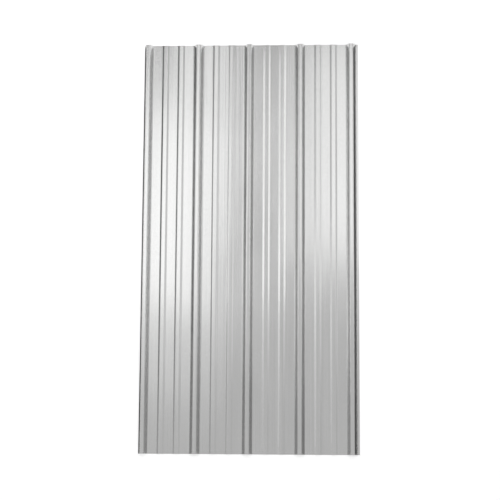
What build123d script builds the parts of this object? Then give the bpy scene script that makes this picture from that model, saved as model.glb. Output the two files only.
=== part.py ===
from build123d import *

import os

# Ribbed steel cladding sheet, roll formed from one strip of zinc-coated steel. Five tall ribs stand
# between flat pans, and each pan is stiffened by two shallow ribs. One edge ends in a short leg that laps
# over the next sheet, the other in a full rib with a narrow foot beyond it.
# Millimetres. X runs across the ribs, Y along them and Z up. The origin is the centre of the sheet's
# footprint, on the plane that the pans rest on. Widths and heights are those of the metal's underside.

# The strip
sheet_length = 1828.8
sheet_thickness = 0.4

# Tall ribs, which carry the load between purlins
rib_count = 5
rib_pitch = 228.6
rib_height = 19.05
rib_foot_width = 44.45
rib_crest_width = 15.875
rib_bend_radius = 4.5

# Shallow stiffeners, spaced evenly about the middle of each pan
stiffeners_per_pan = 2
stiffener_spacing = 69.85
stiffener_height = 3.2
stiffener_foot_width = 31.75
stiffener_crest_width = 15.9
stiffener_bend_radius = 3.0

# Edges: a leg that stops short of the pan's level on the left, a flat foot on the right
overlap_leg_drop = 9.5
bearing_foot_width = 9.5

# Sizes that follow from the ones above
flank_run = (rib_foot_width - rib_crest_width) / 2
flank_length = (flank_run**2 + rib_height**2) ** 0.5
leg_x = -rib_crest_width / 2 - flank_run * overlap_leg_drop / rib_height
leg_edge_x = leg_x - sheet_thickness * rib_height / flank_length
foot_x = rib_foot_width / 2 + bearing_foot_width
rib_span = rib_pitch * (rib_count - 1)
first_rib_x = -(leg_edge_x + foot_x + rib_span) / 2


def rib_x(number):
    """Centre line of a tall rib, counted from the overlapping edge."""
    return first_rib_x + number * rib_pitch


def ridge(centre, foot_width, crest_width, height, radius):
    """The four bends of a ridge from left to right, each as x, z and bend radius."""
    return [
        (centre - foot_width / 2, 0, radius),
        (centre - crest_width / 2, height, radius),
        (centre + crest_width / 2, height, radius),
        (centre + foot_width / 2, 0, radius),
    ]


def tall_rib(number):
    """The bends of one tall rib."""
    return ridge(rib_x(number), rib_foot_width, rib_crest_width, rib_height, rib_bend_radius)


def stiffeners(number):
    """The bends of the stiffeners in the pan to the right of a tall rib."""
    bends = []
    for count in range(stiffeners_per_pan):
        step = count - (stiffeners_per_pan - 1) / 2
        bends += ridge(
            rib_x(number) + rib_pitch / 2 + step * stiffener_spacing,
            stiffener_foot_width,
            stiffener_crest_width,
            stiffener_height,
            stiffener_bend_radius,
        )
    return bends


def section_bends():
    """Every bend of the sheet's section, from the overlapping edge to the end of the bearing foot."""
    leg_end = (rib_x(0) + leg_x, rib_height - overlap_leg_drop, 0)
    foot_end = (rib_x(rib_count - 1) + foot_x, 0, 0)
    bends = [leg_end] + tall_rib(0)[1:]
    for number in range(1, rib_count):
        bends += stiffeners(number - 1)
        bends += tall_rib(number)
    return bends + [foot_end]


def ribbed_sheet():
    """The underside's line, thickened upwards and run straight along the ribs."""
    bends = section_bends()
    points = [(x, z) for x, z, radius in bends]
    radii = [radius for x, z, radius in bends[1:-1]]
    with BuildPart() as sheet:
        with BuildSketch(Plane.XZ.offset(-sheet_length / 2)):
            with BuildLine():
                FilletPolyline(*points, radius=radii)
                offset(amount=sheet_thickness, side=Side.LEFT, closed=True)
            make_face()
        extrude(amount=sheet_length)
    return sheet.part


os.makedirs("parts", exist_ok=True)
export_step(ribbed_sheet(), "parts/ribbed_sheet.step")
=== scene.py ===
import math

import bpy
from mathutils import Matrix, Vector, noise


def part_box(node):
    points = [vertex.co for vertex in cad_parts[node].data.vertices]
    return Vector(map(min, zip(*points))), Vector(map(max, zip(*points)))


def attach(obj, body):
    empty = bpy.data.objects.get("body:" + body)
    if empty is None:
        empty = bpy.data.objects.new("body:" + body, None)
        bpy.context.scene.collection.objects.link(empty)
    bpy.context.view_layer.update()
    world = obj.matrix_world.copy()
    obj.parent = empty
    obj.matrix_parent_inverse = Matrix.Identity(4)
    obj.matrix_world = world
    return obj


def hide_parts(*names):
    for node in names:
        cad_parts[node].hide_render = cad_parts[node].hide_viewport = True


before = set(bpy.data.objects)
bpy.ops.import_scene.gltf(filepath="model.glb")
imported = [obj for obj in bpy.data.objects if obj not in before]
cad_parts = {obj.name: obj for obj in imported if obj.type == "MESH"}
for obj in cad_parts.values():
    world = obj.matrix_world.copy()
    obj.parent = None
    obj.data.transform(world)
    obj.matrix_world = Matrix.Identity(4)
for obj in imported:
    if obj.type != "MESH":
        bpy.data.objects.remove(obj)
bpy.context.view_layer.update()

# The sheet. One strip of thin zinc-coated steel, roll formed cold: tall ribs stand between flat pans, and
# two shallow stiffeners run along each pan. The section below is the underside of the metal, bend by bend,
# and the strip is rolled out along it for its whole length.

sheet_low, sheet_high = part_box("ribbed_sheet")
sheet_length = sheet_high[1] - sheet_low[1]
sheet_thickness = 0.0004

rib_count = 5
rib_pitch = 0.2286
rib_height = sheet_high[2] - sheet_low[2] - sheet_thickness
rib_foot_width = 0.04445
rib_crest_width = 0.015875
rib_bend_radius = 0.0045

stiffeners_per_pan = 2
stiffener_spacing = 0.06985
stiffener_height = 0.0032
stiffener_foot_width = 0.03175
stiffener_crest_width = 0.0159
stiffener_bend_radius = 0.003

overlap_leg_drop = 0.0095
bearing_foot_width = 0.0095

last_rib_x = sheet_high[0] - bearing_foot_width - rib_foot_width / 2
first_rib_x = last_rib_x - rib_pitch * (rib_count - 1)
flank_run = (rib_foot_width - rib_crest_width) / 2


def ridge(centre, foot_width, crest_width, height, radius):
    """The four bends of a ridge from left to right, each as its corner and its bend radius."""
    return [
        (Vector((centre - foot_width / 2, 0)), radius),
        (Vector((centre - crest_width / 2, height)), radius),
        (Vector((centre + crest_width / 2, height)), radius),
        (Vector((centre + foot_width / 2, 0)), radius),
    ]


def stiffeners(pan_middle):
    """The bends of one pan's stiffeners, spaced evenly about its middle."""
    bends = []
    for count in range(stiffeners_per_pan):
        step = count - (stiffeners_per_pan - 1) / 2
        bends += ridge(
            pan_middle + step * stiffener_spacing,
            stiffener_foot_width,
            stiffener_crest_width,
            stiffener_height,
            stiffener_bend_radius,
        )
    return bends


def section_corners():
    """The bends of the whole section, from the short overlapping leg to the end of the bearing foot."""
    leg_x = first_rib_x - rib_crest_width / 2 - flank_run * overlap_leg_drop / rib_height
    corners = [(Vector((leg_x, rib_height - overlap_leg_drop)), 0)]
    for number in range(rib_count):
        rib_x = first_rib_x + number * rib_pitch
        rib = ridge(rib_x, rib_foot_width, rib_crest_width, rib_height, rib_bend_radius)
        corners += rib if number else rib[1:]
        if number < rib_count - 1:
            corners += stiffeners(rib_x + rib_pitch / 2)
    return corners + [(Vector((sheet_high[0], 0)), 0)]


def upright(along):
    """The direction square to a run of the section, on the side the ribs stand."""
    return Vector((-along.y, along.x))


def turned(along, angle):
    """A direction of the section, turned by an angle."""
    return Vector((
        along.x * math.cos(angle) - along.y * math.sin(angle),
        along.x * math.sin(angle) + along.y * math.cos(angle),
    ))


def formed_section(arc_steps, longest_flat):
    """Points along the underside with the direction the metal's thickness takes at each: every bend is an
    arc, and every flat is split evenly so that it can be pushed slightly out of true."""
    corners = section_corners()
    points = []

    def add(point, normal):
        if points:
            start = points[-1][0]
            pieces = math.ceil((point - start).length / longest_flat)
            for piece in range(1, pieces):
                points.append((start.lerp(point, piece / pieces), normal))
        points.append((point, normal))

    for number, (corner, radius) in enumerate(corners):
        before = corners[max(number - 1, 0)][0]
        after = corners[min(number + 1, len(corners) - 1)][0]
        if radius == 0:
            add(corner, upright((after - before).normalized()))
            continue
        along = (corner - before).normalized()
        onward = (after - corner).normalized()
        turn = math.atan2(along.x * onward.y - along.y * onward.x, along.dot(onward))
        signed_radius = math.copysign(radius, turn)
        arc_start = corner - along * radius * math.tan(abs(turn) / 2)
        centre = arc_start + upright(along) * signed_radius
        for step in range(arc_steps + 1):
            heading = turned(along, turn * step / arc_steps)
            add(centre - upright(heading) * signed_radius, upright(heading))
    return points


# Thin pans never stay quite flat after the rolls: each stands a little proud between its ribs, with fine
# flutes that run straight down the sheet and a slow ripple along it. The tall ribs stay straight.

pan_crown = 0.0003
flute_height = 0.00005
flute_width = 0.010
flute_length = 6
flute_seed = 7.5
ripple_height = 0.00010
ripple_width = 0.2
ripple_length = 0.8
ripple_seed = 3.0


def out_of_true(x, y):
    """How far the metal stands above its true section at a place on the sheet."""
    across = (x - first_rib_x) / rib_pitch
    pan = math.floor(across)
    if not 0 <= pan < rib_count - 1:
        return 0
    foot = rib_foot_width / 2 / rib_pitch
    inside = (across - pan - foot) / (1 - 2 * foot)
    if not 0 < inside < 1:
        return 0
    free = math.sin(math.pi * inside)
    flute = noise.noise(Vector((x / flute_width, y / flute_length, flute_seed)))
    ripple = noise.noise(Vector((x / ripple_width, y / ripple_length, ripple_seed + pan)))
    raised = pan_crown * free + flute_height * flute + ripple_height * ripple
    return max(0, free**0.5 * raised)


def rolled_sheet(name, arc_steps=5, longest_flat=0.003, longest_run=0.060, sharpest_bend=35):
    """The strip as one closed skin: rows of points, underside and then top, joined from end to end."""
    section = formed_section(arc_steps, longest_flat)
    rows = math.ceil(sheet_length / longest_run)
    vertices = []
    for row in range(rows + 1):
        y = sheet_low[1] + sheet_length * row / rows
        for depth in (0, sheet_thickness):
            for point, normal in section:
                place = point + normal * depth
                vertices.append((place.x, y, place.y + out_of_true(point.x, y)))

    top = len(section)
    last = top - 1
    ring = 2 * top
    end = rows * ring
    faces = []
    for near in range(0, end, ring):
        far = near + ring
        for i in range(last):
            faces.append((near + i, far + i, far + i + 1, near + i + 1))
            faces.append((near + top + i, near + top + i + 1, far + top + i + 1, far + top + i))
        faces.append((near, near + top, far + top, far))
        faces.append((near + last, far + last, far + top + last, near + top + last))
    for i in range(last):
        faces.append((i, i + 1, top + i + 1, top + i))
        faces.append((end + i, end + top + i, end + top + i + 1, end + i + 1))

    mesh = bpy.data.meshes.new(name)
    mesh.from_pydata(vertices, [], faces)
    mesh.validate()
    mesh.shade_smooth()
    mesh.set_sharp_from_angle(angle=math.radians(sharpest_bend))
    sheet = bpy.data.objects.new(name, mesh)
    bpy.context.scene.collection.objects.link(sheet)
    return sheet


sheet = rolled_sheet("rolled_sheet")


# The coating. Zinc and aluminium laid on hot, rolled to a satin: a fine crystal mottle, faint lines the way
# the strip ran through the rolls, and slow patches where the coating is a little brighter or duller.
# Each grain counts features to the metre: across, along and up, or one count for all three.

dull_zinc = (0.565, 0.565, 0.562, 1)
bright_zinc = (0.648, 0.648, 0.645, 1)
noise_range = (0.3, 0.7)
patch_grain = (5, 2, 5)
patch_tone = 0.6
patch_roughness = (0.15, 0.20)
line_grain = (260, 0.8, 260)
line_tone = 0.6
line_roughness = 0.03
streak_grain = (11, 0.4, 11)
streak_range = (0.42, 0.62)
faintest_streak = 0.15
crystal_grain = 420
crystal_range = (0.2, 0.8)
crystal_tone = 0.35
crystal_relief = 0.5
relief_height = 0.00004


def ranged(tree, value, low, high, new_low, new_high):
    """A value carried from one range over to another, and held at the ends of it."""
    spread = tree.nodes.new("ShaderNodeMapRange")
    spread.inputs["From Min"].default_value = low
    spread.inputs["From Max"].default_value = high
    spread.inputs["To Min"].default_value = new_low
    spread.inputs["To Max"].default_value = new_high
    tree.links.new(value, spread.inputs["Value"])
    return spread.outputs["Result"]


def combined(tree, operation, first, second):
    """Two values added, multiplied or compared."""
    step = tree.nodes.new("ShaderNodeMath")
    step.operation = operation
    tree.links.new(first, step.inputs[0])
    tree.links.new(second, step.inputs[1])
    return step.outputs["Value"]


def zinc_coating():
    material = bpy.data.materials.new("zinc_coating")
    material.use_nodes = True
    tree = material.node_tree
    nodes = tree.nodes
    links = tree.links
    shader = nodes["Principled BSDF"]
    shader.inputs["Metallic"].default_value = 1.0
    place = nodes.new("ShaderNodeTexCoord")

    def stretched(grain):
        mapping = nodes.new("ShaderNodeMapping")
        mapping.inputs["Scale"].default_value = grain
        links.new(place.outputs["Object"], mapping.inputs["Vector"])
        return mapping.outputs["Vector"]

    def clouds(grain, detail):
        texture = nodes.new("ShaderNodeTexNoise")
        texture.inputs["Scale"].default_value = 1.0
        texture.inputs["Detail"].default_value = detail
        links.new(stretched(grain), texture.inputs["Vector"])
        return texture.outputs["Fac"]

    ridges = clouds(line_grain, 2)
    streaks = ranged(tree, clouds(streak_grain, 1), *streak_range, faintest_streak, 1)
    patches = clouds(patch_grain, 2)
    cells = nodes.new("ShaderNodeTexVoronoi")
    cells.inputs["Scale"].default_value = crystal_grain
    links.new(place.outputs["Object"], cells.inputs["Vector"])
    grey_cells = nodes.new("ShaderNodeRGBToBW")
    links.new(cells.outputs["Color"], grey_cells.inputs["Color"])
    crystals = grey_cells.outputs["Val"]
    lines = combined(tree, "MULTIPLY", ranged(tree, ridges, *noise_range, -1, 1), streaks)

    patchy = ranged(tree, patches, *noise_range, -patch_tone, patch_tone)
    tone = combined(tree, "ADD", patchy, ranged(tree, lines, -1, 1, -line_tone, line_tone))
    mottle = ranged(tree, crystals, *crystal_range, -crystal_tone, crystal_tone)
    tone = combined(tree, "ADD", tone, mottle)
    colour = nodes.new("ShaderNodeValToRGB")
    colour.color_ramp.elements[0].color = dull_zinc
    colour.color_ramp.elements[1].color = bright_zinc
    most_tone = patch_tone + line_tone
    links.new(ranged(tree, tone, -most_tone, most_tone, 0, 1), colour.inputs["Fac"])
    links.new(colour.outputs["Color"], shader.inputs["Base Color"])

    drawn = ranged(tree, lines, -1, 1, 0, line_roughness)
    satin = ranged(tree, patches, *noise_range, *patch_roughness)
    links.new(combined(tree, "ADD", drawn, satin), shader.inputs["Roughness"])

    relief = combined(tree, "ADD", lines, ranged(tree, crystals, 0, 1, 0, crystal_relief))
    bump = nodes.new("ShaderNodeBump")
    bump.inputs["Strength"].default_value = 1.0
    bump.inputs["Distance"].default_value = relief_height
    links.new(relief, bump.inputs["Height"])
    links.new(bump.outputs["Normal"], shader.inputs["Normal"])
    return material


sheet.data.materials.append(zinc_coating())
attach(sheet, "root")
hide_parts("ribbed_sheet")


# The floor. A pale matt board that the sheet lies flat on. It shows white to the camera and in the metal,
# and keeps the sheet's shadow.

board_size = 60
board_gap = 0.0002
board_white = (0.92, 0.92, 0.92, 1)
board_lift = 0.38


def pale_floor():
    """The board, with a lift towards white that only the camera and the sheet's mirroring see."""
    bpy.ops.mesh.primitive_plane_add(size=board_size, location=(0, 0, sheet_low[2] - board_gap))
    floor = bpy.context.object
    floor.name = "floor"
    material = bpy.data.materials.new("pale_board")
    material.use_nodes = True
    tree = material.node_tree
    nodes = tree.nodes
    links = tree.links
    nodes.remove(nodes["Principled BSDF"])
    board = nodes.new("ShaderNodeBsdfDiffuse")
    board.inputs["Color"].default_value = board_white
    rays = nodes.new("ShaderNodeLightPath")
    seen = rays.outputs["Is Camera Ray"]
    for kind in ("Is Glossy Ray", "Is Transmission Ray"):
        seen = combined(tree, "MAXIMUM", seen, rays.outputs[kind])
    lift = nodes.new("ShaderNodeMath")
    lift.operation = "MULTIPLY"
    lift.inputs[1].default_value = board_lift
    links.new(seen, lift.inputs[0])
    glow = nodes.new("ShaderNodeEmission")
    links.new(lift.outputs["Value"], glow.inputs["Strength"])
    both = nodes.new("ShaderNodeAddShader")
    links.new(board.outputs["BSDF"], both.inputs[0])
    links.new(glow.outputs["Emission"], both.inputs[1])
    links.new(both.outputs["Shader"], nodes["Material Output"].inputs["Surface"])
    floor.data.materials.append(material)
    return floor


floor = pale_floor()


# The light. A plain pale room, lighter low down at both ends, with a dark flag on each side wall. Soft boxes
# hang over both halves of the sheet and out past its long edges, strips hang lower for the stiffeners'
# slopes, and low boxes far out light the ribs' flanks. A dark card lies along each edge, out of view and
# casting no shadow: only the metal mirrors it, a painted dark reflection on the sheet's edge flanks.


def room(near_ceiling, far_ceiling, walls, glow, left_flag, right_flag):
    """The room's strengths. X, Y and Z are the parts of a direction, from -1 to 1, and each edge below is
    the stretch of one part over which one strength gives way to another."""
    wall_top = ("Z", 0.58, 0.90)
    ceiling_change = ("Y", 0.12, 0.32)
    left_flag_edges = [
        ("X", -0.58, -0.72),
        ("Y", -0.10, 0.15),
        ("Y", 0.42, 0.32),
        ("Z", 0.24, 0.36),
        ("Z", 0.72, 0.62),
    ]
    right_flag_edges = [
        ("X", 0.70, 0.85),
        ("Y", -0.22, -0.10),
        ("Y", 0.35, 0.15),
        ("Z", 0.19, 0.25),
        ("Z", 0.46, 0.34),
    ]
    far_end = ("Y", 0.42, 0.60)
    near_end = ("Y", -0.15, -0.35)
    low_down = ("Z", 0.38, 0.15)

    world = bpy.data.worlds.new("room")
    world.use_nodes = True
    tree = world.node_tree
    nodes = tree.nodes
    links = tree.links
    direction = nodes.new("ShaderNodeTexCoord")
    parts = nodes.new("ShaderNodeSeparateXYZ")
    links.new(direction.outputs["Generated"], parts.inputs["Vector"])

    def blend(edge, low=0, high=1):
        part, start, end = edge
        blended = ranged(tree, parts.outputs[part], start, end, low, high)
        blended.node.interpolation_type = "SMOOTHSTEP"
        return blended

    def flagged(strength, flag, edges):
        covered = blend(edges[0])
        for edge in edges[1:]:
            covered = combined(tree, "MULTIPLY", covered, blend(edge))
        return combined(tree, "MULTIPLY", strength, ranged(tree, covered, 0, 1, 1, flag))

    light = blend(wall_top, walls)
    links.new(blend(ceiling_change, near_ceiling, far_ceiling), light.node.inputs["To Max"])
    light = flagged(light, left_flag, left_flag_edges)
    light = flagged(light, right_flag, right_flag_edges)
    ends = combined(tree, "MAXIMUM", blend(far_end), blend(near_end))
    pale = combined(tree, "MULTIPLY", ends, blend(low_down, 0, glow))
    links.new(combined(tree, "ADD", light, pale), nodes["Background"].inputs["Strength"])
    nodes["Background"].inputs["Color"].default_value = (1, 1, 1, 1)
    bpy.context.scene.world = world


def soft_box(name, place, width, length, brightness, turn=(0, 0, 0)):
    """A soft box, hung level unless it is turned by the degrees given about X, Y and Z. Brightness is what
    it would show to the eye, 1 being white."""
    lamp = bpy.data.lights.new(name, "AREA")
    lamp.shape = "RECTANGLE"
    lamp.size = width
    lamp.size_y = length
    lamp.energy = brightness * math.pi * width * length
    box = bpy.data.objects.new(name, lamp)
    box.location = place
    box.rotation_euler = [math.radians(angle) for angle in turn]
    box.visible_camera = False
    bpy.context.scene.collection.objects.link(box)


def dark_reflection_card(name, edge, side):
    """A dark card on the floor beside a long edge, which only the metal sees: a painted dark reflection on
    the edge flanks.
    """
    width = 0.15
    gap = 0.003
    dark_reflection_grey = (0.09, 0.09, 0.09, 1)
    middle = edge + side * (gap + width / 2)
    bpy.ops.mesh.primitive_plane_add(size=1, location=(middle, 0, sheet_low[2]))
    card = bpy.context.object
    card.name = name
    card.scale = (width, sheet_length, 1)
    card.visible_camera = False
    card.visible_diffuse = False
    card.visible_shadow = False
    material = bpy.data.materials.new(name)
    material.use_nodes = True
    shader = material.node_tree.nodes["Principled BSDF"]
    shader.inputs["Base Color"].default_value = dark_reflection_grey
    shader.inputs["Roughness"].default_value = 0.9
    card.data.materials.append(material)


room(near_ceiling=0.71, far_ceiling=0.46, walls=0.60, glow=0.35, left_flag=0.1, right_flag=0.4)

box_height = 3.0
soft_box("left_box", (-0.69, 0.68, box_height), 0.78, 1.35, 1.01, turn=(0, 0, -12))
soft_box("left_far_box", (-0.47, 1.70, box_height), 0.45, 0.7, 0.95)
soft_box("left_near_box", (-0.80, -0.14, box_height), 0.9, 0.80, 0.30, turn=(0, 0, -18))
soft_box("left_edge_box", (-1.10, 1.15, box_height), 0.35, 1.1, 0.7)
soft_box("right_box", (0.50, 1.12, box_height), 0.70, 1.60, 0.88)
soft_box("right_near_box", (0.56, 0.13, box_height), 0.5, 0.38, 0.20)
soft_box("left_side_box", (-2.83, 0.85, box_height), 1.05, 2.3, 0.35)
soft_box("right_side_box", (2.525, 0.85, box_height), 1.95, 2.3, 0.3)

strip_height = 1.0
soft_box("left_strip", (-0.935, 0.60, strip_height), 0.23, 1.45, 1.2)
soft_box("left_strip_edge", (-1.14, 0.60, strip_height), 0.12, 1.45, 0.45)
soft_box("right_strip", (1.03, 0.60, strip_height), 0.22, 1.45, 1.0)
soft_box("left_strip_end", (-0.94, -0.54, strip_height), 0.20, 0.84, 0.34)

inner_strip_height = 1.5
soft_box("inner_strip", (-1.13, 0.05, inner_strip_height), 0.24, 0.80, 0.50)
soft_box("inner_strip_end", (-1.13, -0.65, inner_strip_height), 0.24, 0.60, 0.42)

low_box_distance = 12.0
soft_box("low_left_box", (-low_box_distance, 2.1, 1.9), 3.2, 4.2, 1.7, turn=(0, -90, 0))
soft_box("low_right_box", (low_box_distance, 2.2, 1.2), 2.0, 4.0, 2.2, turn=(0, 90, 0))

# Painted dark reflections: a card by each long edge darkens the outer rib flanks, in the metal only.
dark_reflection_card("left_dark_reflection_card", sheet_low[0], -1)
dark_reflection_card("right_dark_reflection_card", sheet_high[0], 1)


# The camera. It looks down on the sheet through a long lens from almost six metres above the sheet's near
# end, square to it but for a few degrees. The focal length is in the picture's own pixels.


def camera():
    picture_width = 500
    focal_length = 1350
    view_limit = 50
    data = bpy.data.cameras.new("camera")
    data.sensor_width = 36
    data.lens = data.sensor_width * focal_length / picture_width
    data.clip_end = view_limit
    view = bpy.data.objects.new("camera", data)
    view.location = (0.2885, -0.8403, 5.9112)
    view.rotation_euler = (0.1381, 0.0479, 0.0064)
    bpy.context.scene.collection.objects.link(view)
    bpy.context.scene.camera = view


camera()
bpy.context.scene.view_settings.view_transform = "Standard"
